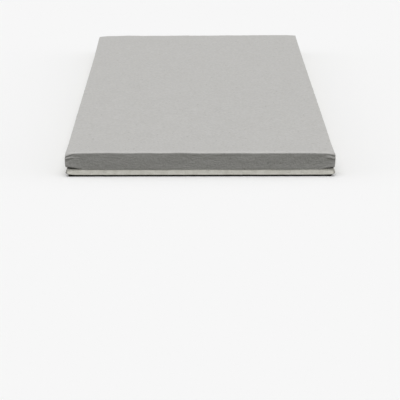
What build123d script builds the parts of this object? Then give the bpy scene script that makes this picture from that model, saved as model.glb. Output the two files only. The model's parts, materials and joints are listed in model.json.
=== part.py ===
"""A drywall sheet: a gypsum core inside a folded face paper, on a flat back paper.

Millimetres. X runs along the two paper-wrapped edges, Y from the front one to the rear one, Z up.
The sheet lies on its back paper, with the origin under its middle. The ends at -X and +X are saw cuts
that show all three layers.
"""

import os

from build123d import *

# The sheet
sheet_width = 132.0  # between the two cut ends
sheet_depth = 280.0  # over the paper of the two wrapped edges
sheet_thickness = 12.5  # over both papers, away from the tapers

# The papers
face_paper_thickness = 0.4
back_paper_thickness = 0.4
back_paper_setback = 0.2  # from the end of the core's flat underside

# The tapered edges, which leave room for a jointing tape and its filler
taper_width = 45.0
taper_depth = 0.6
taper_blend_radius = 400.0  # where the taper runs out into the flat of the face
core_arris_radius = 0.15  # the corner of the core that the face paper is folded round

# The bare lip of the core, below the cut margin of the face paper
margin_height = 3.0  # of the paper's margin above the floor
lip_shoulder_radius = 0.1  # where the margin stands on the lip
lip_reach = 1.2  # of the lip past the outer side of the paper
lip_nose_height = 0.5  # from the underside of the core up to the slope of the lip
lip_nose_radius = 0.35


def face_line(inset):
    """Line of the face at a depth under the outer side of the paper, from front margin to rear margin."""
    side = sheet_depth / 2 - inset
    flat_end = sheet_depth / 2 - taper_width
    top = sheet_thickness - inset
    arris_radius = core_arris_radius + face_paper_thickness - inset
    points = [
        (-side, margin_height),
        (-side, top - taper_depth),
        (-flat_end, top),
        (flat_end, top),
        (side, top - taper_depth),
        (side, margin_height),
    ]
    radii = [arris_radius, taper_blend_radius, taper_blend_radius, arris_radius]
    return FilletPolyline(*points, radius=radii)


def lip_line():
    """Line of the core from the rear margin, round the rear lip, under the core and round the front lip."""
    seat = sheet_depth / 2 - face_paper_thickness
    shoulder = sheet_depth / 2
    nose = sheet_depth / 2 + lip_reach
    underside = back_paper_thickness
    rear = [
        (seat, margin_height),
        (shoulder, margin_height),
        (nose, underside + lip_nose_height),
        (nose, underside),
    ]
    front = [(-y, z) for y, z in reversed(rear)]
    rear_radii = [lip_shoulder_radius, lip_nose_radius, lip_nose_radius]
    return FilletPolyline(*rear, *front, radius=[*rear_radii, *reversed(rear_radii)])


def along_the_edge(section):
    """A section of the YZ plane carried from one cut end to the other."""
    return extrude(Plane.YZ * section, amount=sheet_width / 2, both=True)


def gypsum_core():
    """The core: its face follows the inner side of the paper, and its lips stand out below the margins."""
    return along_the_edge(make_face([face_line(face_paper_thickness), lip_line()]))


def face_paper():
    """The face paper, one strip folded over the face and down both edges to its cut margins."""
    outer = face_line(0)
    inner = face_line(face_paper_thickness)
    front_margin = Line(outer @ 0, inner @ 0)
    rear_margin = Line(outer @ 1, inner @ 1)
    return along_the_edge(make_face([outer, rear_margin, inner, front_margin]))


def back_paper():
    """The back paper, a flat strip under the whole of the core's flat underside."""
    underside_depth = sheet_depth + 2 * (lip_reach - lip_nose_radius)
    paper_depth = underside_depth - 2 * back_paper_setback
    strip = Pos(0, back_paper_thickness / 2) * Rectangle(paper_depth, back_paper_thickness)
    return along_the_edge(strip)


os.makedirs("parts", exist_ok=True)
for make_piece in (gypsum_core, face_paper, back_paper):
    export_step(make_piece(), f"parts/{make_piece.__name__}.step")
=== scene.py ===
"""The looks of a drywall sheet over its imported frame: face paper, plaster core and back paper."""

import json
from itertools import product
from math import pi, radians
from typing import NamedTuple

import bpy
import numpy as np
from bpy.props import FloatProperty, FloatVectorProperty, PointerProperty
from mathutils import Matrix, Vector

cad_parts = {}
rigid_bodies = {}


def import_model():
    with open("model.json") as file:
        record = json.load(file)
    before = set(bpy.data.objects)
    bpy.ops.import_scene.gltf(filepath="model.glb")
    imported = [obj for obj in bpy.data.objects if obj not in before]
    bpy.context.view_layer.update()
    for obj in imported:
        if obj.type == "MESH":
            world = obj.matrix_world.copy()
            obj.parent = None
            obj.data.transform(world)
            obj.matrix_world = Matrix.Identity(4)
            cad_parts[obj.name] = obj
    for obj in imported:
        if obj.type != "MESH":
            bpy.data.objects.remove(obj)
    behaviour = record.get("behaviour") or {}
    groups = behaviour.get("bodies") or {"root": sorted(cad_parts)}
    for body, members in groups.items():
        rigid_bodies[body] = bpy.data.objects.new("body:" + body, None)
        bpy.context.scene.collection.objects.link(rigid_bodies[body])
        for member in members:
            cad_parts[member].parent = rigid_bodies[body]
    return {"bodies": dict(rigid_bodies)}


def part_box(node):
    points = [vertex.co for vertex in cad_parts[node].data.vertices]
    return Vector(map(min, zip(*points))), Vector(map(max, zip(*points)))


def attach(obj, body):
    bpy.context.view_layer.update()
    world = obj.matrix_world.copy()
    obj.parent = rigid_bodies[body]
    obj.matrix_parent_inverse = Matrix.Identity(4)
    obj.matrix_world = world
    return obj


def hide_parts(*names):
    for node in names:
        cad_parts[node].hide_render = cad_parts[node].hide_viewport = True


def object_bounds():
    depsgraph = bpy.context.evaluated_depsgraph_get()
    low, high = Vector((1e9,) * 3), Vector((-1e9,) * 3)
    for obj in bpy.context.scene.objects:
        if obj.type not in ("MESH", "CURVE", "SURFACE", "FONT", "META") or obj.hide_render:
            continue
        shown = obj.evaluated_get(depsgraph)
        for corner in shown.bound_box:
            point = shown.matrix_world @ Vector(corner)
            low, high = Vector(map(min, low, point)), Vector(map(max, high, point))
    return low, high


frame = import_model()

bl_info = {
    "name": "Drywall sheet",
    "version": (1, 0, 0),
    "blender": (4, 5, 0),
    "location": "View3D > Sidebar > Drywall",
    "description": "Makes the papers and the core of a drywall sheet over its packed frame, and a stage",
    "category": "Add Mesh",
}

MM = 0.001
BODY = next(iter(frame["bodies"]))
CAD_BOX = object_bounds()
PAPER_LOW, PAPER_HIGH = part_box("face_paper")
CORE_LOW, CORE_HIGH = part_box("gypsum_core")
BACK_LOW, BACK_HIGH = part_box("back_paper")
CUT_REACH = 0.5 * MM  # how far in from a cut end the core shows the marks of the saw


class Corner(NamedTuple):
    """How cutting and handling have left one corner of the sheet. Lengths are in millimetres."""

    end: int  # -1 at the left cut end, 1 at the right one
    edge: int  # -1 at the front wrapped edge, 1 at the rear one
    flare: float  # the cut runs out past its line by this much at the corner
    sag: float  # the face sinks this far at the very corner
    sag_reach: float
    bulge: float  # the crushed paper swells this far past its cut end
    fold_height: float  # of the fold in the paper of the edge, above the floor
    fold_climb: float  # slope at which the fold climbs on its way in from the cut end
    fold_facet: float  # height of the paper that slopes out to the fold
    fold_out: float  # how far the fold stands out
    fold_crease: float  # depth of the crease above that slope
    fold_reach: float
    lift: float  # the paper's margin stands this far up at the cut end
    lift_reach: float
    shoulder: float  # the top of the lip follows the margin this far
    hollow: float  # share of the full depth of a hollow under the margin
    lip_out: float  # the lip stands out this far past the core's cut end
    lip_round: float  # and is rounded back this far at its foot, and less at its top
    lip_tip_shade: float  # share of painted shade on the very end of the lip


CORNERS = (
    Corner(
        end=-1, edge=-1, flare=0.0, sag=1.75, sag_reach=2.2, bulge=0.80,
        fold_height=9.2, fold_climb=0.03, fold_facet=2.0, fold_out=0.34, fold_crease=0.50, fold_reach=3.4,
        lift=1.60, lift_reach=8.0, shoulder=0.45, hollow=1.00, lip_out=0.85, lip_round=1.80, lip_tip_shade=1.00,
    ),
    Corner(
        end=1, edge=-1, flare=0.0, sag=0.95, sag_reach=5.0, bulge=0.92,
        fold_height=8.6, fold_climb=0.17, fold_facet=1.9, fold_out=0.50, fold_crease=0.15, fold_reach=3.4,
        lift=1.45, lift_reach=6.5, shoulder=0.45, hollow=0.35, lip_out=1.15, lip_round=1.20, lip_tip_shade=0.60,
    ),
    Corner(
        end=-1, edge=1, flare=0.75, sag=1.30, sag_reach=3.2, bulge=0.15,
        fold_height=8.6, fold_climb=0.10, fold_facet=2.0, fold_out=0.25, fold_crease=0.20, fold_reach=3.5,
        lift=0.60, lift_reach=5.0, shoulder=0.15, hollow=0.60, lip_out=0.20, lip_round=0.60, lip_tip_shade=0.25,
    ),
    Corner(
        end=1, edge=1, flare=0.30, sag=0.45, sag_reach=3.0, bulge=0.45,
        fold_height=8.8, fold_climb=0.10, fold_facet=1.8, fold_out=0.20, fold_crease=0.15, fold_reach=2.8,
        lift=0.45, lift_reach=4.0, shoulder=0.10, hollow=0.45, lip_out=0.10, lip_round=0.50, lip_tip_shade=0.25,
    ),
)


class Waves(NamedTuple):
    """Waves in a surface, the coarse ones first."""

    seed: int  # of the first wave, and one more for each of the others
    layers: tuple  # pairs of a height and a length in millimetres


ARRIS_WAVES = Waves(343, ((0.24, 9.0), (0.07, 2.2)))
BAND_WAVES = Waves(21, ((0.10, 7.0), (0.08, 2.0)))
MARGIN_WAVES = Waves(22, ((0.07, 4.0), (0.04, 1.3)))
CREST_WAVES = Waves(24, ((0.12, 1.6),))
END_FRAY = Waves(31, ((0.06, 2.5), (0.05, 0.8)))
LIP_GRAIN = Waves(41, ((0.09, 6.0), (0.06, 1.6), (0.04, 0.6)))
FOOT_WAVES = Waves(45, ((0.05, 3.0),))
CUT_GRAIN = Waves(46, ((0.10, 5.0), (0.08, 1.4)))
BACK_FRAY = Waves(51, ((0.10, 4.0), (0.07, 0.9)))


# What a user can change


def to_linear(hex_colour):
    """Linear red, green and blue of an sRGB hex colour."""
    srgb = np.array([int(hex_colour[i:i + 2], 16) for i in (0, 2, 4)]) / 255
    return tuple(np.where(srgb <= 0.04045, srgb / 12.92, ((srgb + 0.055) / 1.055) ** 2.4))


def colour(name, description, hex_colour):
    """A colour property with an sRGB hex default."""
    return FloatVectorProperty(
        name=name, description=description, default=to_linear(hex_colour), subtype="COLOR", min=0, max=1
    )


def length(name, description, millimetres):
    """A length property that is shown in the scene's unit and holds metres."""
    return FloatProperty(
        name=name, description=description, default=millimetres * MM, unit="LENGTH", precision=5
    )


def angle(name, description, degrees):
    """An angle property that holds radians."""
    return FloatProperty(name=name, description=description, default=radians(degrees), subtype="ANGLE")


def fraction(name, description, default):
    """A property that is a part of a whole, from 0 to 1."""
    return FloatProperty(name=name, description=description, default=default, subtype="FACTOR", min=0, max=1)


class SheetShape(bpy.types.PropertyGroup):
    """Sizes of the sheet that the boxes of the frame don't give."""

    paper_thickness: length("Paper thickness", "Thickness of the face paper", 0.4)
    arris_radius: length("Arris radius", "Outer radius of the paper's fold over the edge", 0.55)
    taper_width: length("Taper width", "Width of the tapered stretch at each wrapped edge", 45.0)
    taper_depth: length("Taper depth", "Depth of the taper at the wrapped edge", 0.6)
    taper_blend: length("Taper blend", "Length over which the taper runs out into the flat", 7.0)
    lip_nose_height: length("Lip nose", "Height of the nose of the core's bare lip, up to its slope", 0.5)
    lip_nose_radius: length("Lip nose radius", "Radius of the nose of the core's bare lip", 0.35)
    paper_trim: length("Paper trim", "How far the face paper stops short of the widest corner", 1.0)
    core_trim: length("Core trim", "How far the core stops short of the widest corner", 1.2)
    back_trim: length("Back trim", "How far the back paper stops short of the widest corner", 1.8)
    flare_reach: length("Flare reach", "Length over which a cut runs out of square to a corner", 80.0)
    hollow_depth: length("Hollow depth", "Depth of the hollows under the paper's lifted margins", 2.5)


class SheetFinish(bpy.types.PropertyGroup):
    """Colours of the sheet's materials."""

    face_paper: colour("Face paper", "Thick patches of the grey face paper", "C7C6C4")
    face_paper_dark: colour("Face paper, dark", "Thin patches of the face paper", "B5B4B1")
    face_paper_fleck: colour("Face paper flecks", "Specks of old print in the recycled fibre", "A9A8A4")
    # Painted highlight: a lighter paper tone laid along the arris, where the fold catches the light
    face_paper_highlight: colour("Face paper, worn", "Fibres rubbed bright along the fold", "CECDCA")
    plaster: colour("Plaster", "Mid tone of the bare core", "EFEDE4")
    plaster_dark: colour("Plaster, dark", "Dusty patches of the bare core", "DFDDD3")
    # Painted shade in the bubbles: a darker tone that stands for their depth
    plaster_pore_shade: colour("Plaster pores", "Depth of the air bubbles in the core", "BFBCB2")
    # Painted shade: a near black laid where shade falls, on the core's foot, the lip ends and the hollows
    painted_shade: colour("Grime", "Dirt on the foot and the lip ends of the core and in its hollows", "2B2926")
    back_paper: colour("Back paper", "Mid tone of the back paper", "837C71")
    back_paper_dark: colour("Back paper, dark", "Thin patches of the back paper", "736C62")


class StageSetup(bpy.types.PropertyGroup):
    """The floor, the light and the camera."""

    floor_seen: colour("Floor seen", "Tone of the floor and the background to the camera", "F7F7F7")
    floor_bounce: colour("Floor bounce", "Tone of the floor to the light that it throws back", "72736B")
    floor_size: length("Floor size", "Side of the square floor", 12000.0)
    ceiling_share: fraction("Ceiling share", "Share of the face's light that comes from the ceiling", 0.5)
    wall_share: fraction("Wall share", "Share of the face's light that comes from the side walls", 0.12)
    lamp_tilt: angle("Lamp tilt", "Lean of the lamp to the front", 4)
    lamp_spread: angle("Lamp spread", "Width of the lamp seen from the sheet", 55)
    camera_place: FloatVectorProperty(
        name="Camera", description="Place of the camera", default=(-3.5 * MM, -802.1 * MM, 205.8 * MM),
        subtype="TRANSLATION",
    )
    camera_pitch: angle("Camera pitch", "How far the camera looks down", 18.24)
    camera_yaw: angle("Camera yaw", "How far the camera turns to the right", 0.30)
    camera_lens: FloatProperty(
        name="Camera lens", description="Focal length on a 36 mm sensor", default=127.8, unit="CAMERA"
    )


# Numbers on arrays


def smooth_step(share):
    """0 below 0, 1 above 1, and 3 s^2 - 2 s^3 between."""
    s = np.clip(share, 0, 1)
    return s * s * (3 - 2 * s)


def bell(value, middle, width):
    """1 at the middle, and exp(-s^2) at a distance of s widths from it."""
    return np.exp(-(((value - middle) / width) ** 2))


def tent(height, crest, above, below):
    """1 at the crest, and straight down to 0 at one distance above it and at another below it."""
    return np.clip(1 - np.maximum((height - crest) / above, (crest - height) / below), 0, 1)


def lattice_noise(points, cell, seed):
    """Smooth noise from -1 to 1: seeded values on a cubic lattice, blended by smooth steps between them."""
    nodes = 64  # along each side of the lattice, which repeats after that
    values = np.random.default_rng(seed).uniform(-1, 1, (nodes, nodes, nodes))
    place = np.asarray(points) / cell
    base = np.floor(place).astype(int)
    part = smooth_step(place - base)
    total = np.zeros(place.shape[:-1])
    for step in product((0, 1), repeat=3):
        weight = np.where(np.array(step) == 1, part, 1 - part).prod(axis=-1)
        i, j, k = np.moveaxis((base + step) % nodes, -1, 0)
        total += weight * values[i, j, k]
    return total


def wave_height(points, waves):
    """Sum of smooth noises in metres, each with its own height and length."""
    return sum(
        height * MM * lattice_noise(points, size * MM, waves.seed + step)
        for step, (height, size) in enumerate(waves.layers)
    )


def graded_lines(low, high, fine, coarse, reach):
    """Places from low to high, fine apart at both ends and coarse apart further in than reach.

    The number of lines up to a place is the integral of one over the spacing, which is then read backwards.
    """
    samples = 8001
    scan = np.linspace(low, high, samples)
    from_end = np.minimum(scan - low, high - scan)
    spacing = fine + (coarse - fine) * smooth_step(from_end / reach)
    steps = np.diff(scan) * (1 / spacing[1:] + 1 / spacing[:-1]) / 2
    count = np.concatenate([[0], np.cumsum(steps)])
    return np.interp(np.linspace(0, count[-1], round(count[-1]) + 1), count, scan)


def arc(centre, radius, start, end, steps):
    """Points on an arc of the YZ plane, from one angle to another."""
    turn = np.linspace(start, end, steps)
    return np.stack([centre[0] + radius * np.cos(turn), centre[1] + radius * np.sin(turn)], axis=-1)


def evenly(points, spacing):
    """The polyline through the points, cut into steps of about one spacing."""
    walked = np.concatenate([[0], np.cumsum(np.linalg.norm(np.diff(points, axis=0), axis=1))])
    places = np.linspace(0, walked[-1], round(walked[-1] / spacing) + 1)
    return np.stack([np.interp(places, walked, points[:, axis]) for axis in (0, 1)], axis=-1)


# Meshes from numbered points


def numbered(rows, columns):
    """Numbers of the points of a grid, row by row."""
    return np.arange(rows * columns).reshape(rows, columns)


def quads(index):
    """Faces between the neighbours of a grid of point numbers."""
    return np.stack([index[:-1, :-1], index[1:, :-1], index[1:, 1:], index[:-1, 1:]], axis=-1).reshape(-1, 4)


def turned(faces):
    """The same faces, seen from the other side."""
    return faces[:, ::-1]


def make_piece(name, node, points, faces, material, sharp_angle, attributes):
    """Puts points, faces and values on points into a mesh that stands for a CAD node and rides on its body.

    What wear has pushed past the box of the CAD model is held at its side.
    """
    mesh = bpy.data.meshes.new(name)
    held = np.clip(points.reshape(-1, 3), *CAD_BOX)
    mesh.from_pydata(held, [], [face for group in faces for face in group])
    mesh.polygons.foreach_set("use_smooth", np.ones(len(mesh.polygons), bool))
    mesh.set_sharp_from_angle(angle=sharp_angle)
    mesh.materials.append(material)
    for attribute, values in attributes.items():
        layer = mesh.attributes.new(attribute, "FLOAT", "POINT")
        layer.data.foreach_set("value", values.ravel().astype(np.float32))
    mesh.validate()
    piece = bpy.data.objects.new(name, mesh)
    bpy.context.scene.collection.objects.link(piece)
    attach(piece, BODY)
    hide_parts(node)


# The shape of the whole sheet


def face_height(shape, y, inset):
    """Height of the face over a place across the sheet, at a depth under the paper's outer side.

    It is top - slope * (d + sqrt(d^2 + b^2)) / 2, where d is the distance past the start of the taper and
    b is its blend.
    """
    past = np.abs(y) - (PAPER_HIGH.y - shape.taper_width)
    drop = (past + np.sqrt(past**2 + shape.taper_blend**2)) / 2
    return PAPER_HIGH.z - inset - shape.taper_depth / shape.taper_width * drop


def paper_half_width(shape):
    """Distance from the middle of the sheet to the straight stretch of the paper's cut ends."""
    return PAPER_HIGH.x - shape.paper_trim


def sheet_grid(places, line):
    """Points of a line of the YZ plane carried along X: one row of points for each place on X."""
    grid = np.empty((len(places), len(line), 3))
    grid[..., 0] = places[:, None]
    grid[..., 1:] = line
    return grid


def from_corner(points, corner, half_width, half_depth):
    """Distances from a corner's cut end and from its wrapped edge."""
    from_end = half_width - corner.end * points[..., 0]
    from_edge = half_depth - corner.edge * points[..., 1]
    return np.maximum(from_end, 0), np.maximum(from_edge, 0)


def near_cut(points, half_width, reach):
    """1 on a cut end, and exp(-d / reach) at a distance d from it."""
    return np.exp(-(half_width - np.abs(points[..., 0])) / reach)


def lift_share(from_end, corner):
    """1 at the cut end, and 1 - (d / reach)^1.6 at a distance d from it."""
    return np.clip(1 - (from_end / (corner.lift_reach * MM)) ** 1.6, 0, 1)


def flare(shape, points, half_width):
    """Movement along X where a cut runs out of square: a smooth step over the last stretch to each corner."""
    total = np.zeros(points.shape[:-1])
    for corner in CORNERS:
        _, from_edge = from_corner(points, corner, half_width, PAPER_HIGH.y)
        outward = np.clip(corner.end * points[..., 0] / half_width, 0, 1)
        total += corner.end * corner.flare * MM * outward * smooth_step(1 - from_edge / shape.flare_reach)
    return total


def crush(points, half_width):
    """Sinking of the face: each corner sags by an exponential of the distance from it, and the arris is wavy.

    The rear edge bows up by a bell along X, which runs out straight over the taper. All of it fades down the
    edge, which squeezes the paper there into folds.
    """
    fade_start, fade = PAPER_HIGH.z - 4.1 * MM, 3 * MM
    sag_across = 1.25  # a distance across counts this much more than one along
    arris_wear, wave_reach, arris_stretch = 0.16 * MM, 2 * MM, (1, 0.02, 0.02)
    bow_height, bow_reach = 0.46 * MM, 42 * MM
    bow_middle, bow_width = 44 * MM, 41 * MM
    x, y, z = np.moveaxis(points, -1, 0)
    sink = np.zeros_like(x)
    for corner in CORNERS:
        from_end, from_edge = from_corner(points, corner, half_width, PAPER_HIGH.y)
        sink += corner.sag * MM * np.exp(-(from_end + sag_across * from_edge) / (corner.sag_reach * MM))
    from_arris = np.maximum(PAPER_HIGH.y - np.abs(y), 0)
    worn = arris_wear + wave_height(points * arris_stretch, ARRIS_WAVES)
    sink += worn * np.exp(-from_arris / wave_reach)
    rear = np.clip(1 - (PAPER_HIGH.y - y) / bow_reach, 0, 1)
    sink -= bow_height * bell(x, bow_middle, bow_width) * rear
    return sink * smooth_step((z - fade_start) / fade)


def buckle(points, half_width):
    """Movement of the band of paper: outwards, and upwards at its margin.

    Each corner has a fold: a straight facet out to its crest, a steep one back under it, and a crease above,
    under the arris. It fades by exp(-s^3), with s the distance from the cut end in reaches, under a fine
    crumple. The margin lifts and peels off towards the cut ends. Its lower edge and the cut ends curl in.
    """
    band_top, band_fade = PAPER_HIGH.z - 1.5 * MM, 1 * MM
    underside, crease = 0.4 * MM, 0.35 * MM
    margin_curl, margin_curl_reach, margin_stretch = 0.16 * MM, 0.25 * MM, (1, 0.02, 0)
    end_curl, end_curl_reach = 0.15 * MM, 0.35 * MM
    crumple_size, crumple_seed, crumple_stretch = 0.9 * MM, 25, (0.5, 1, 1)
    crumple_share, crumple_reach = 0.32, 3 * MM
    lift_height, peel_height, peel_share = 3.5 * MM, 7.0 * MM, 0.3
    z = points[..., 2]
    over_margin = z - PAPER_LOW.z
    band = smooth_step((band_top - z) / band_fade)
    out = wave_height(points, BAND_WAVES) * band
    out -= margin_curl * np.exp(-over_margin / margin_curl_reach)
    rise = wave_height(points * margin_stretch, MARGIN_WAVES)
    waver = wave_height(points * margin_stretch, CREST_WAVES)
    crumple = lattice_noise(points * crumple_stretch, crumple_size, crumple_seed) * band
    for corner in CORNERS:
        from_end, from_edge = from_corner(points, corner, half_width, PAPER_HIGH.y)
        here = from_edge < PAPER_HIGH.y
        crest = corner.fold_height * MM + corner.fold_climb * from_end + waver
        facet = corner.fold_facet * MM
        fold = corner.fold_out * tent(z, crest, facet, underside)
        fold -= corner.fold_crease * tent(z, crest + facet, crease, facet)
        fold *= np.exp(-((from_end / (corner.fold_reach * MM)) ** 3))
        fold += crumple_share * corner.fold_out * crumple * np.exp(-from_end / crumple_reach)
        out += here * fold * MM
        out -= here * end_curl * np.exp(-from_end / end_curl_reach) * band
        lifted = here * corner.lift * MM * lift_share(from_end, corner)
        rise += lifted
        out += peel_share * lifted * (1 - smooth_step(over_margin / peel_height))
    return out, rise * (1 - smooth_step(over_margin / lift_height))


# Face paper


def face_line(shape, inset, across):
    """Y and Z of the face side: up the front band, round the arris, over the face and down the rear."""
    fold_steps = 12
    side = PAPER_HIGH.y - inset
    radius = shape.arris_radius - inset
    middle = (radius - side, face_height(shape, side - radius, inset) - radius)
    band_rows = graded_lines(PAPER_LOW.z, middle[1], fine=0.12 * MM, coarse=0.4 * MM, reach=4 * MM)[:-1]
    band = np.stack([np.full_like(band_rows, -side), band_rows], axis=-1)
    fold = arc(middle, radius, pi, pi / 2, fold_steps)[:-1]
    y = across * (side - radius)
    face = np.stack([y, face_height(shape, y, inset)], axis=-1)
    front = np.concatenate([band, fold])
    return np.concatenate([front, face, front[::-1] * (-1, 1)])


def ragged_end(points, half_width):
    """Movement along X that frays a cut end by noise and fades from it by an exponential."""
    fray_reach = 0.6 * MM
    return np.sign(points[..., 0]) * wave_height(points, END_FRAY) * near_cut(points, half_width, fray_reach)


def swell(points, half_width):
    """Movement of the crushed paper past its cut ends: a bell in height, fading from the end and the edge."""
    bell_height, bell_width = 9.0 * MM, 8.0 * MM
    end_reach, edge_reach = 1.0 * MM, 4.5 * MM
    total = np.zeros(points.shape[:-1])
    for corner in CORNERS:
        from_end, from_edge = from_corner(points, corner, half_width, PAPER_HIGH.y)
        total += corner.end * corner.bulge * MM * np.exp(-from_end / end_reach - from_edge / edge_reach)
    return total * bell(points[..., 2], bell_height, bell_width)


def face_paper_points(shape):
    """Outer and inner points of the face paper: the face's line carried along X, then crushed and buckled.

    Both sides get the movement of the outer one, so the paper keeps its thickness.
    """
    half_width = paper_half_width(shape)
    places = graded_lines(-half_width, half_width, fine=0.22 * MM, coarse=0.72 * MM, reach=9 * MM)
    half_face = PAPER_HIGH.y - shape.arris_radius
    across = graded_lines(-half_face, half_face, fine=0.3 * MM, coarse=5.0 * MM, reach=60 * MM) / half_face
    outer = sheet_grid(places, face_line(shape, 0, across))
    inner = sheet_grid(places, face_line(shape, shape.paper_thickness, across))
    out, rise = buckle(outer, half_width)
    move = np.zeros_like(outer)
    move[..., 0] = ragged_end(outer, half_width) + swell(outer, half_width) + flare(shape, outer, half_width)
    move[..., 1] = np.sign(outer[..., 1]) * out
    move[..., 2] = rise - crush(outer, half_width)
    return outer + move, inner + move


def face_paper_faces(outer, inner):
    """The two sides of a sheet and the strips that close its four borders."""
    top = numbered(*outer.shape[:2])
    under = numbered(*inner.shape[:2]) + top.size
    closing = [
        np.stack([under[0], top[0]]),
        np.stack([top[-1], under[-1]]),
        np.stack([top[:, 0], under[:, 0]]),
        np.stack([under[:, -1], top[:, -1]]),
    ]
    return [quads(top), turned(quads(under)), *map(quads, closing)]


def arris_highlight(points):
    """Painted highlight on each point of the paper: a bell just behind the arris, and noise along it."""
    behind, width = 0.9 * MM, 0.9 * MM
    arris_foot, fade = PAPER_HIGH.z - 1.3 * MM, 0.4 * MM
    highlight_mean, highlight_swing = 0.6, 0.4
    highlight_size, highlight_seed, highlight_stretch = 2.5 * MM, 61, (1, 0.1, 0.1)
    from_edge = PAPER_HIGH.y - np.abs(points[..., 1])
    highlight_share = highlight_mean + highlight_swing * lattice_noise(points * highlight_stretch, highlight_size, highlight_seed)
    on_face = smooth_step((points[..., 2] - arris_foot) / fade)
    return bell(from_edge, behind, width) * highlight_share * on_face


# Plaster core


def lip_line(shape):
    """Distance from the middle and height along the core's side: nose, slope, shoulder, wall and arris."""
    shoulder, lip_spacing = 0.05 * MM, 0.11 * MM
    nose_steps, fold_steps = 9, 7
    foot_of_wall, foot_rows, wall_rows = 1.5 * MM, 14, 9
    nose, under = CORE_HIGH.y, CORE_LOW.z
    side, margin = PAPER_HIGH.y, PAPER_LOW.z
    seat = side - shape.paper_thickness
    radius = shape.lip_nose_radius
    inner_radius = shape.arris_radius - shape.paper_thickness
    nose_corner = arc((nose - radius, under + radius), radius, -pi / 2, 0, nose_steps)
    slope = [
        (nose, under + shape.lip_nose_height),
        (side + shoulder, margin - 2 * shoulder),
        (side - shoulder, margin),
        (seat, margin),
    ]
    lip = evenly(np.concatenate([nose_corner, slope]), lip_spacing)
    wall_middle = margin + foot_of_wall
    wall_top = face_height(shape, seat - inner_radius, shape.paper_thickness) - inner_radius
    lower = np.linspace(margin, wall_middle, foot_rows)[1:]
    upper = np.linspace(wall_middle, wall_top, wall_rows)[1:]
    heights = np.concatenate([lower, upper])
    wall = np.stack([np.full_like(heights, seat), heights], axis=-1)
    fold = arc((seat - inner_radius, wall_top), inner_radius, 0, pi / 2, fold_steps)[1:]
    return np.concatenate([lip, wall, fold])


def at_edge(points):
    """1 at the wrapped edges, and 0 from 3 mm behind the paper's outer side inwards."""
    root, fade = PAPER_HIGH.y - 3 * MM, 2 * MM
    return smooth_step((np.abs(points[..., 1]) - root) / fade)


def lip_relief(points):
    """Movement of the bare lips, out and up: grain, chips where a noise is high, and a foot worn up."""
    lip_top, lip_fade, lip_wear = PAPER_LOW.z - 0.1 * MM, 0.25 * MM, 0.1 * MM
    chip_depth, chip_size, chip_seed = 0.16 * MM, 1.5 * MM, 44
    chip_start, chip_fade = 0.52, 0.25
    foot_height, foot_wear, foot_stretch = 0.6 * MM, 0.12 * MM, (1, 0, 0)
    z = points[..., 2]
    lip = at_edge(points) * smooth_step((lip_top - z) / lip_fade)
    chips = smooth_step((lattice_noise(points, chip_size, chip_seed) - chip_start) / chip_fade)
    out = lip * (wave_height(points, LIP_GRAIN) - lip_wear - chip_depth * chips)
    foot = lip * smooth_step(1 - (z - CORE_LOW.z) / foot_height)
    return out, foot * (foot_wear + wave_height(points * foot_stretch, FOOT_WAVES))


def cut_relief(points, half_width):
    """Movement of the cut ends along the sheet: grain, and pores where a noise is high."""
    pore_depth, pore_size, pore_seed = 0.25 * MM, 1.1 * MM, 48
    pore_start, pore_fade = 0.45, 0.3
    pores = smooth_step((lattice_noise(points, pore_size, pore_seed) - pore_start) / pore_fade)
    return (wave_height(points, CUT_GRAIN) - pore_depth * pores) * near_cut(points, half_width, CUT_REACH)


def corner_wear(points, corner, half_width):
    """What has happened to the core at a corner: movement along, out and up, and shares of hollow and of
    painted shade.

    The shoulder heaves where the paper's margin lifts, and the gap between them is a tent in height. The end
    of the lip stands out past the cut and is rounded off by the square of the distance from its middle, less
    so above it. This fades from the corner by exponentials. The tip of the lip gets painted shade.
    """
    heave_above, heave_below, heave_in = 2 * MM, 1.2 * MM, 0.8
    gap_crest, gap_above, gap_below = 0.30 * MM, 0.85 * MM, 0.20 * MM
    lip_top, end_reach, edge_reach = 1 * MM, 2.2 * MM, 4 * MM
    round_middle, round_height, round_above = 1.9 * MM, 1.2 * MM, 0.20
    round_in, round_up = 0.6, 0.3
    tip_length, tip_depth = 0.9 * MM, 2.5 * MM
    z = points[..., 2]
    over_margin = z - PAPER_LOW.z
    from_end, from_edge = from_corner(points, corner, half_width, CORE_HIGH.y)
    here = from_edge < CORE_HIGH.y
    edge = here * at_edge(points)
    lifted = here * lift_share(from_end, corner)
    shoulder = smooth_step(1 + over_margin / heave_below) * smooth_step(1 - over_margin / heave_above)
    heave = corner.shoulder * MM * lifted * edge * shoulder
    hollow = corner.hollow * np.sqrt(lifted) * tent(over_margin, gap_crest, gap_above, gap_below)
    lip_end = edge * smooth_step(1 - over_margin / lip_top)
    tip = lip_end * smooth_step(1 - from_end / tip_length) * smooth_step(1 - from_edge / tip_depth)
    worn = lip_end * np.exp(-from_end / end_reach - from_edge / edge_reach) * MM
    off_middle = (z - round_middle) / round_height
    rounding = np.where(off_middle > 0, round_above, 1) * off_middle**2
    along = worn * (corner.lip_out - corner.lip_round * rounding)
    out = -heave_in * heave - worn * corner.lip_round * round_in * np.clip(off_middle, 0, 1)
    rise = heave - worn * corner.lip_round * round_up * off_middle
    return np.stack([along, out, rise], axis=-1), hollow, corner.lip_tip_shade * tip


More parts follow.
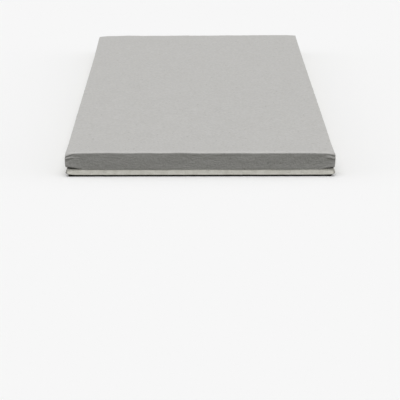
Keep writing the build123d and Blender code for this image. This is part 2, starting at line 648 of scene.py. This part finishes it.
def crumble(shape, points, half_width):
    """Movement of the core, and how much painted shade each point gets, from 0 to 1.

    The relief of its lips and cut ends and the wear of its corners add up, and the core is hollow in the gaps
    under the paper's margins. Painted shade lies in those gaps, on the tips of the lips and on the core's
    foot.
    Where the paper is pressed in or sinks, so is the core.
    """
    foot_shade_height, foot_shade_fade, hollow_shade_gain = 0.70 * MM, 0.40 * MM, 8
    hollow_root, hollow_fade = PAPER_HIGH.y - 10 * MM, 8 * MM
    pressed_foot, pressed_fade = PAPER_LOW.z + 1 * MM, 1 * MM
    x, y, z = np.moveaxis(points, -1, 0)
    out, rise = lip_relief(points)
    move = np.stack([cut_relief(points, half_width), out, rise], axis=-1)
    hollow = np.zeros_like(x)
    # Painted shadow along the foot of the core: a dark line where the sheet meets the floor
    painted_shade = smooth_step((CORE_LOW.z + foot_shade_height - z) / foot_shade_fade)
    for corner in CORNERS:
        wear, gap, tip_shade = corner_wear(points, corner, half_width)
        move += wear
        hollow = np.maximum(hollow, gap)
        painted_shade = np.maximum(painted_shade, tip_shade)
    # Painted shade in the hollows under the lifted margins, as dark as a deep gap's shadow
    painted_shade = np.maximum(painted_shade, np.clip(hollow_shade_gain * hollow, 0, 1) * at_edge(points))
    move[..., 1] -= shape.hollow_depth * hollow * smooth_step((np.abs(y) - hollow_root) / hollow_fade)
    paper_end = paper_half_width(shape)
    pressed, _ = buckle(points, paper_end)
    behind_band = at_edge(points) * smooth_step((z - pressed_foot) / pressed_fade)
    move[..., 1] += np.minimum(pressed, 0) * behind_band
    move[..., :2] *= np.sign(points[..., :2])
    move[..., 0] += flare(shape, points, half_width)
    move[..., 2] -= crush(points, paper_end)
    return move, painted_shade


def core_points_and_faces(shape):
    """The core as a block: its lips are the side line carried along X, its cut ends are grids between them.

    A point of an end is the side line drawn in towards the middle by a share from -1 to 1. On the way in its
    heights spread out evenly and stretch up to the face. The hidden top and underside are flat faces of many
    corners. The last value is the painted shade and the marks of the saw on each point.
    """
    rows_kept, rows_blend = 4 * MM, 12 * MM
    half_width = CORE_HIGH.x - shape.core_trim
    places = graded_lines(-half_width, half_width, fine=0.16 * MM, coarse=0.45 * MM, reach=7 * MM)
    side = lip_line(shape)
    rows = len(side)
    lips = np.stack([sheet_grid(places, side * (edge, 1)) for edge in (-1, 1)])
    inward = graded_lines(-CORE_HIGH.y, CORE_HIGH.y, fine=0.35 * MM, coarse=0.75 * MM, reach=14 * MM)[1:-1]
    shares = inward / CORE_HIGH.y
    y = shares[:, None] * side[:, 0]
    roof = face_height(shape, shares * side[-1, 0], shape.paper_thickness)
    under = CORE_LOW.z
    stretch = (roof - under) / (side[-1, 1] - under)
    spread = smooth_step((CORE_HIGH.y - np.abs(inward) - rows_kept) / rows_blend)[:, None]
    heights = (1 - spread) * side[:, 1] + spread * np.linspace(under, side[-1, 1], rows)
    z = under + (heights - under) * stretch[:, None]
    ends = np.stack([np.stack([np.full_like(y, end * half_width), y, z], axis=-1) for end in (-1, 1)])
    points = np.concatenate([lips.reshape(-1, 3), ends.reshape(-1, 3)])
    number = np.arange(len(points))
    front, rear = number[:2 * len(places) * rows].reshape(2, len(places), rows)
    inside = number[2 * len(places) * rows:].reshape(2, len(shares), rows)
    left = np.concatenate([front[:1], inside[0], rear[:1]])
    right = np.concatenate([front[-1:], inside[1], rear[-1:]])
    taper_share = 1 - shape.taper_width / CORE_HIGH.y
    first, last = np.searchsorted(shares, [-taper_share, taper_share]) + 1
    top = [
        np.concatenate([front[:, -1], right[1:first + 1, -1], left[first:0:-1, -1]]),
        np.concatenate([right[first:last + 1, -1], left[last:first - 1:-1, -1]]),
        np.concatenate([right[last:-1, -1], rear[::-1, -1], left[-2:last - 1:-1, -1]]),
    ]
    underside = [np.concatenate([left[:, 0], rear[1:, 0], right[-2::-1, 0], front[-2:0:-1, 0]])]
    faces = [quads(front), turned(quads(rear)), turned(quads(left)), quads(right), top, underside]
    move, painted_shade = crumble(shape, points, half_width)
    return points + move, faces, {"painted_shade": painted_shade, "sawn": near_cut(points, half_width, CUT_REACH)}


# Back paper


def back_paper_points_and_faces(shape):
    """The back paper: a ragged outline carried up through its thickness, closed by a flat face on each side.

    The last value is painted shade, which lies on its long margins above the underside.
    """
    level_count = 4
    margin_depth, least_fray = 0.1 * MM, 0.02 * MM
    half_width = BACK_HIGH.x - shape.back_trim
    along = graded_lines(-half_width, half_width, fine=0.4 * MM, coarse=0.6 * MM, reach=5 * MM)
    across = graded_lines(BACK_LOW.y, BACK_HIGH.y, fine=0.4 * MM, coarse=0.9 * MM, reach=5 * MM)
    front = np.stack([along[:-1], np.full(len(along) - 1, BACK_LOW.y)], axis=-1)
    right = np.stack([np.full(len(across) - 1, half_width), across[:-1]], axis=-1)
    outline = np.concatenate([front, right, -front, -right])
    levels = np.linspace(BACK_LOW.z, BACK_HIGH.z, level_count)
    points = np.empty((len(levels), len(outline), 3))
    points[..., :2] = outline
    points[..., 2] = levels[:, None]
    # Painted shade on the long margins, which darkens the line under the core's lip
    on_margin = np.abs(points[..., 1]) > BACK_HIGH.y - margin_depth
    painted_shade = on_margin * (points[..., 2] > BACK_LOW.z)
    fray = np.abs(wave_height(points, BACK_FRAY)) + least_fray
    points[..., :2] -= np.sign(outline) * fray[..., None]
    number = numbered(*points.shape[:2])
    ring = np.concatenate([number, number[:, :1]], axis=1)
    return points, [turned(quads(ring)), [number[0, ::-1]], [number[-1]]], {"painted_shade": painted_shade}


# Materials


COLOUR_A, COLOUR_B, COLOUR_OUT = 6, 7, 2  # the colour sockets of a Mix node


def add_node(tree, kind, settings=None, values=None, links=None):
    """Adds a node with its own settings and input values, and links outputs of other nodes to its inputs."""
    node = tree.nodes.new(kind)
    for name, value in (settings or {}).items():
        setattr(node, name, value)
    for name, value in (values or {}).items():
        node.inputs[name].default_value = value
    for name, output in (links or {}).items():
        tree.links.new(output, node.inputs[name])
    return node


def new_material(name):
    """An empty node material, with its tree and the Object coordinates of whatever wears it."""
    material = bpy.data.materials.new(name)
    material.use_nodes = True
    tree = material.node_tree
    tree.nodes.clear()
    place = add_node(tree, "ShaderNodeTexCoord").outputs["Object"]
    return material, tree, place


def finish_material(tree, shading):
    """Sends a shader to the material's surface."""
    add_node(tree, "ShaderNodeOutputMaterial", links={"Surface": shading.outputs[0]})


def finish_matt(tree, colour, height, relief, strength, roughness, specular):
    """Sends a matt surface of one colour to the material, with the relief that a height gives it."""
    bump = add_node(tree, "ShaderNodeBump", values={"Strength": strength, "Distance": relief},
                    links={"Height": height})
    shading = add_node(tree, "ShaderNodeBsdfPrincipled",
                       values={"Roughness": roughness, "Specular IOR Level": specular},
                       links={"Base Color": colour, "Normal": bump.outputs[0]})
    finish_material(tree, shading)


def opaque(rgb):
    """A colour with full cover, as the nodes' sockets take it."""
    return (*rgb, 1.0)


def grey_recycled_liner(finish):
    """Face paper: multi-ply recycled liner, calendered matt. The eye sees clouds, short fibres and specks.

    Real fibres are a few hundredths of a millimetre wide. They and their relief are drawn much coarser here,
    so that they show.
    """
    cloud_size, fibre_size, speck_size = 9 * MM, 0.8 * MM, 1.6 * MM
    cloud_weight, fibre_stretch = 0.14, (0.65, 1, 1)
    material, tree, place = new_material("grey_recycled_liner")
    fibres_along = add_node(tree, "ShaderNodeMapping", values={"Scale": fibre_stretch},
                            links={"Vector": place})
    clouds = add_node(tree, "ShaderNodeTexNoise",
                      values={"Scale": 1 / cloud_size, "Detail": 3.0, "Roughness": 0.55},
                      links={"Vector": place})
    fibres = add_node(tree, "ShaderNodeTexNoise",
                      values={"Scale": 1 / fibre_size, "Detail": 3.0, "Roughness": 0.6},
                      links={"Vector": fibres_along.outputs[0]})
    tone = add_node(tree, "ShaderNodeMath", {"operation": "MULTIPLY_ADD"}, {1: cloud_weight},
                    {0: clouds.outputs["Fac"], 2: fibres.outputs["Fac"]})
    tone_range = add_node(tree, "ShaderNodeMapRange", values={"From Min": 0.33, "From Max": 0.81},
                          links={"Value": tone.outputs[0]})
    ground = add_node(tree, "ShaderNodeMix", {"data_type": "RGBA"},
                      {COLOUR_A: opaque(finish.face_paper_dark), COLOUR_B: opaque(finish.face_paper)},
                      {0: tone_range.outputs[0]})
    specks = add_node(tree, "ShaderNodeTexNoise", values={"Scale": 1 / speck_size, "Detail": 1.0},
                      links={"Vector": place})
    speck_share = add_node(tree, "ShaderNodeMapRange", values={"From Min": 0.68, "From Max": 0.80},
                           links={"Value": specks.outputs["Fac"]})
    specked = add_node(tree, "ShaderNodeMix", {"data_type": "RGBA"},
                       {COLOUR_B: opaque(finish.face_paper_fleck)},
                       {0: speck_share.outputs[0], COLOUR_A: ground.outputs[COLOUR_OUT]})
    # Painted highlight along the arris, from an attribute
    worn = add_node(tree, "ShaderNodeAttribute", {"attribute_name": "arris_highlight"})
    highlighted = add_node(tree, "ShaderNodeMix", {"data_type": "RGBA"},
                      {COLOUR_B: opaque(finish.face_paper_highlight)},
                      {0: worn.outputs["Fac"], COLOUR_A: specked.outputs[COLOUR_OUT]})
    finish_matt(tree, highlighted.outputs[COLOUR_OUT], tone.outputs[0], relief=0.28 * MM, strength=1.0,
                roughness=0.9, specular=0.25)
    return material


def bare_set_plaster(finish):
    """Core: foamed gypsum, cast and then broken or sawn. The eye sees chalky grain, hollows and bubbles.

    The bubbles are half a millimetre across, as the largest real ones are. The saw has opened them at the
    cut ends, and elsewhere a skin of plaster half hides them. The grit is drawn coarser than it is, to show.
    """
    drift_size, bubble_spacing, grit_size = 4 * MM, 1.0 * MM, 0.5 * MM
    open_under_skin = 0.3
    material, tree, place = new_material("bare_set_plaster")
    drift = add_node(tree, "ShaderNodeTexNoise",
                     values={"Scale": 1 / drift_size, "Detail": 4.0, "Roughness": 0.6},
                     links={"Vector": place})
    drift_range = add_node(tree, "ShaderNodeMapRange", values={"From Min": 0.35, "From Max": 0.60},
                           links={"Value": drift.outputs["Fac"]})
    ground = add_node(tree, "ShaderNodeMix", {"data_type": "RGBA"},
                      {COLOUR_A: opaque(finish.plaster_dark), COLOUR_B: opaque(finish.plaster)},
                      {0: drift_range.outputs[0]})
    bubbles = add_node(tree, "ShaderNodeTexVoronoi", values={"Scale": 1 / bubble_spacing},
                       links={"Vector": place})
    bubble_share = add_node(tree, "ShaderNodeMapRange", values={"From Min": 0.26, "From Max": 0.12},
                            links={"Value": bubbles.outputs["Distance"]})
    sawn = add_node(tree, "ShaderNodeAttribute", {"attribute_name": "sawn"})
    open_share = add_node(tree, "ShaderNodeMapRange", values={"To Min": open_under_skin},
                          links={"Value": sawn.outputs["Fac"]})
    pores = add_node(tree, "ShaderNodeMath", {"operation": "MULTIPLY"},
                     links={0: bubble_share.outputs[0], 1: open_share.outputs[0]})
    # Painted shade in the bubbles, strongest where the saw has opened them
    pore_shaded = add_node(tree, "ShaderNodeMix", {"data_type": "RGBA"}, {COLOUR_B: opaque(finish.plaster_pore_shade)},
                     {0: pores.outputs[0], COLOUR_A: ground.outputs[COLOUR_OUT]})
    # Painted shade from an attribute: dark on the foot, on the lip ends and in the hollows
    painted_shade = add_node(tree, "ShaderNodeAttribute", {"attribute_name": "painted_shade"})
    shaded = add_node(tree, "ShaderNodeMix", {"data_type": "RGBA"}, {COLOUR_B: opaque(finish.painted_shade)},
                     {0: painted_shade.outputs["Fac"], COLOUR_A: pore_shaded.outputs[COLOUR_OUT]})
    grit = add_node(tree, "ShaderNodeTexNoise", values={"Scale": 1 / grit_size, "Detail": 3.0},
                    links={"Vector": place})
    surface = add_node(tree, "ShaderNodeMath", {"operation": "MULTIPLY_ADD"}, {1: -1.0},
                       {0: pores.outputs[0], 2: grit.outputs["Fac"]})
    finish_matt(tree, shaded.outputs[COLOUR_OUT], surface.outputs[0], relief=0.12 * MM, strength=0.7,
                roughness=0.95, specular=0.2)
    return material


def brown_back_liner(finish):
    """Back paper: uncoated recycled liner. The eye sees coarse fibres and a browner tone than the face's.

    The fibres are drawn coarser than real ones, so that they show.
    """
    fibre_size, fibre_stretch = 1.5 * MM, (0.3, 1, 1)
    material, tree, place = new_material("brown_back_liner")
    fibres_along = add_node(tree, "ShaderNodeMapping", values={"Scale": fibre_stretch},
                            links={"Vector": place})
    fibres = add_node(tree, "ShaderNodeTexNoise",
                      values={"Scale": 1 / fibre_size, "Detail": 5.0, "Roughness": 0.7},
                      links={"Vector": fibres_along.outputs[0]})
    fibre_range = add_node(tree, "ShaderNodeMapRange", values={"From Min": 0.35, "From Max": 0.65},
                           links={"Value": fibres.outputs["Fac"]})
    ground = add_node(tree, "ShaderNodeMix", {"data_type": "RGBA"},
                      {COLOUR_A: opaque(finish.back_paper_dark), COLOUR_B: opaque(finish.back_paper)},
                      {0: fibre_range.outputs[0]})
    # Painted shade on the long margins, from an attribute
    painted_shade = add_node(tree, "ShaderNodeAttribute", {"attribute_name": "painted_shade"})
    shaded = add_node(tree, "ShaderNodeMix", {"data_type": "RGBA"}, {COLOUR_B: opaque(finish.painted_shade)},
                     {0: painted_shade.outputs["Fac"], COLOUR_A: ground.outputs[COLOUR_OUT]})
    finish_matt(tree, shaded.outputs[COLOUR_OUT], fibres.outputs["Fac"], relief=0.06 * MM, strength=0.6,
                roughness=0.92, specular=0.25)
    return material


def seen_straight(tree):
    """1 for rays from the camera or by way of a mirror or a pane, and 0 for light that is thrown back."""
    path = add_node(tree, "ShaderNodeLightPath").outputs
    mirrored = add_node(tree, "ShaderNodeMath", {"operation": "MAXIMUM"},
                        links={0: path["Is Glossy Ray"], 1: path["Is Transmission Ray"]})
    either = add_node(tree, "ShaderNodeMath", {"operation": "MAXIMUM"},
                      links={0: path["Is Camera Ray"], 1: mirrored.outputs[0]})
    return either.outputs[0]


def matt_studio_floor(setup):
    """Floor: matt seamless paper. It is pale to the camera and throws back less light than it shows."""
    material, tree, _ = new_material("matt_studio_floor")
    seen = add_node(tree, "ShaderNodeBsdfDiffuse", values={"Color": opaque(setup.floor_seen)})
    bounce = add_node(tree, "ShaderNodeBsdfDiffuse", values={"Color": opaque(setup.floor_bounce)})
    shading = add_node(tree, "ShaderNodeMixShader",
                       links={0: seen_straight(tree), 1: bounce.outputs[0], 2: seen.outputs[0]})
    finish_material(tree, shading)
    return material


# Operators


class DRYWALL_OT_face_paper(bpy.types.Operator):
    """Makes the face paper, folded over both wrapped edges"""

    bl_idname = "drywall.face_paper"
    bl_label = "Face paper"

    def execute(self, context):
        outer, inner = face_paper_points(context.scene.drywall_shape)
        points = np.stack([outer, inner])
        faces = face_paper_faces(outer, inner)
        material = grey_recycled_liner(context.scene.drywall_finish)
        make_piece("face_paper_folded", "face_paper", points, faces, material,
                   # The paper's painted highlight along the arris goes on as an attribute
                   sharp_angle=radians(40), attributes={"arris_highlight": arris_highlight(points)})
        return {"FINISHED"}


class DRYWALL_OT_gypsum_core(bpy.types.Operator):
    """Makes the plaster core, with its bare lips and cut ends"""

    bl_idname = "drywall.gypsum_core"
    bl_label = "Gypsum core"

    def execute(self, context):
        points, faces, marks = core_points_and_faces(context.scene.drywall_shape)
        material = bare_set_plaster(context.scene.drywall_finish)
        make_piece("gypsum_core_cast", "gypsum_core", points, faces, material,
                   sharp_angle=radians(50), attributes=marks)
        return {"FINISHED"}


class DRYWALL_OT_back_paper(bpy.types.Operator):
    """Makes the flat back paper"""

    bl_idname = "drywall.back_paper"
    bl_label = "Back paper"

    def execute(self, context):
        points, faces, marks = back_paper_points_and_faces(context.scene.drywall_shape)
        material = brown_back_liner(context.scene.drywall_finish)
        make_piece("back_paper_flat", "back_paper", points, faces, material,
                   sharp_angle=radians(40), attributes=marks)
        return {"FINISHED"}


class DRYWALL_OT_stage(bpy.types.Operator):
    """Makes the floor, the light and the camera"""

    bl_idname = "drywall.stage"
    bl_label = "Stage"

    def execute(self, context):
        setup = context.scene.drywall_stage
        self.floor(context, setup)
        self.light(context, setup)
        self.camera(context, setup)
        context.scene.view_settings.view_transform = "Standard"
        return {"FINISHED"}

    def floor(self, context, setup):
        """A square grid of faces just under the sheet."""
        floor_gap, lines = 0.02 * MM, 3
        places = np.linspace(-setup.floor_size / 2, setup.floor_size / 2, lines)
        x, y = np.meshgrid(places, places, indexing="ij")
        points = np.stack([x, y, np.full_like(x, CAD_BOX[0].z - floor_gap)], axis=-1)
        mesh = bpy.data.meshes.new("floor")
        mesh.from_pydata(points.reshape(-1, 3), [], quads(numbered(lines, lines)))
        mesh.materials.append(matt_studio_floor(setup))
        floor = bpy.data.objects.new("floor", mesh)
        context.scene.collection.objects.link(floor)

    def light(self, context, setup):
        """A ceiling that is brightest overhead, two bright side walls and one broad lamp.

        Together they light a level face to 1. A sky that glows by z lights such a face to 2/3 of its strength
        overhead, and one that glows by x to the power of 8 lights it to 7/128 of its strength at the walls.
        """
        wall_power = 8.0
        ceiling_strength, wall_strength = setup.ceiling_share * 3 / 2, setup.wall_share * 128 / 7
        world = bpy.data.worlds.new("studio_ceiling")
        context.scene.world = world
        world.use_nodes = True
        tree = world.node_tree
        tree.nodes.clear()
        way = add_node(tree, "ShaderNodeTexCoord")
        parts = add_node(tree, "ShaderNodeSeparateXYZ", links={0: way.outputs["Generated"]})
        overhead = add_node(tree, "ShaderNodeMath", {"operation": "MAXIMUM"}, {1: 0.0},
                            {0: parts.outputs["Z"]})
        sideways = add_node(tree, "ShaderNodeMath", {"operation": "POWER"}, {1: wall_power},
                            {0: parts.outputs["X"]})
        walls = add_node(tree, "ShaderNodeMath", {"operation": "MULTIPLY"}, {1: wall_strength},
                         {0: sideways.outputs[0]})
        glow = add_node(tree, "ShaderNodeMath", {"operation": "MULTIPLY_ADD"}, {1: ceiling_strength},
                        {0: overhead.outputs[0], 2: walls.outputs[0]})
        ceiling = add_node(tree, "ShaderNodeBackground", values={"Color": opaque((1, 1, 1))},
                           links={"Strength": glow.outputs[0]})
        backdrop = add_node(tree, "ShaderNodeBackground", values={"Color": opaque(setup.floor_seen)})
        mixed = add_node(tree, "ShaderNodeMixShader",
                         links={0: seen_straight(tree), 1: ceiling.outputs[0], 2: backdrop.outputs[0]})
        add_node(tree, "ShaderNodeOutputWorld", links={"Surface": mixed.outputs[0]})
        lamp = bpy.data.lights.new("broad_lamp", "SUN")
        lamp.energy = pi * (1 - setup.ceiling_share - setup.wall_share) / np.cos(setup.lamp_tilt)
        lamp.angle = setup.lamp_spread
        stand = bpy.data.objects.new("broad_lamp", lamp)
        stand.rotation_euler = (setup.lamp_tilt, 0, 0)
        context.scene.collection.objects.link(stand)

    def camera(self, context, setup):
        """A long lens that looks down on the sheet from the front."""
        camera = bpy.data.cameras.new("camera")
        camera.sensor_width = 36.0
        camera.lens = setup.camera_lens
        stand = bpy.data.objects.new("camera", camera)
        stand.location = setup.camera_place
        stand.rotation_euler = (pi / 2 - setup.camera_pitch, 0, -setup.camera_yaw)
        context.scene.collection.objects.link(stand)
        context.scene.camera = stand


class DRYWALL_PT_sheet(bpy.types.Panel):
    """Lists the pieces of the sheet and what can be changed"""

    bl_label = "Drywall sheet"
    bl_idname = "DRYWALL_PT_sheet"
    bl_space_type = "VIEW_3D"
    bl_region_type = "UI"
    bl_category = "Drywall"

    def draw(self, context):
        for operator in OPERATORS:
            self.layout.operator(operator.bl_idname)
        for group in (context.scene.drywall_shape, context.scene.drywall_finish, context.scene.drywall_stage):
            for name in group.__annotations__:
                self.layout.prop(group, name)


OPERATORS = (DRYWALL_OT_gypsum_core, DRYWALL_OT_face_paper, DRYWALL_OT_back_paper, DRYWALL_OT_stage)
CLASSES = (SheetShape, SheetFinish, StageSetup, *OPERATORS, DRYWALL_PT_sheet)


def register():
    """Adds the classes and hangs the properties on the scene."""
    for each in CLASSES:
        bpy.utils.register_class(each)
    bpy.types.Scene.drywall_shape = PointerProperty(type=SheetShape)
    bpy.types.Scene.drywall_finish = PointerProperty(type=SheetFinish)
    bpy.types.Scene.drywall_stage = PointerProperty(type=StageSetup)


def unregister():
    """Takes the properties and the classes away again."""
    del bpy.types.Scene.drywall_stage
    del bpy.types.Scene.drywall_finish
    del bpy.types.Scene.drywall_shape
    for each in reversed(CLASSES):
        bpy.utils.unregister_class(each)


def main():
    """Makes every piece and the stage."""
    register()
    bpy.ops.drywall.gypsum_core()
    bpy.ops.drywall.face_paper()
    bpy.ops.drywall.back_paper()
    bpy.ops.drywall.stage()


if __name__ == "__main__":
    main()
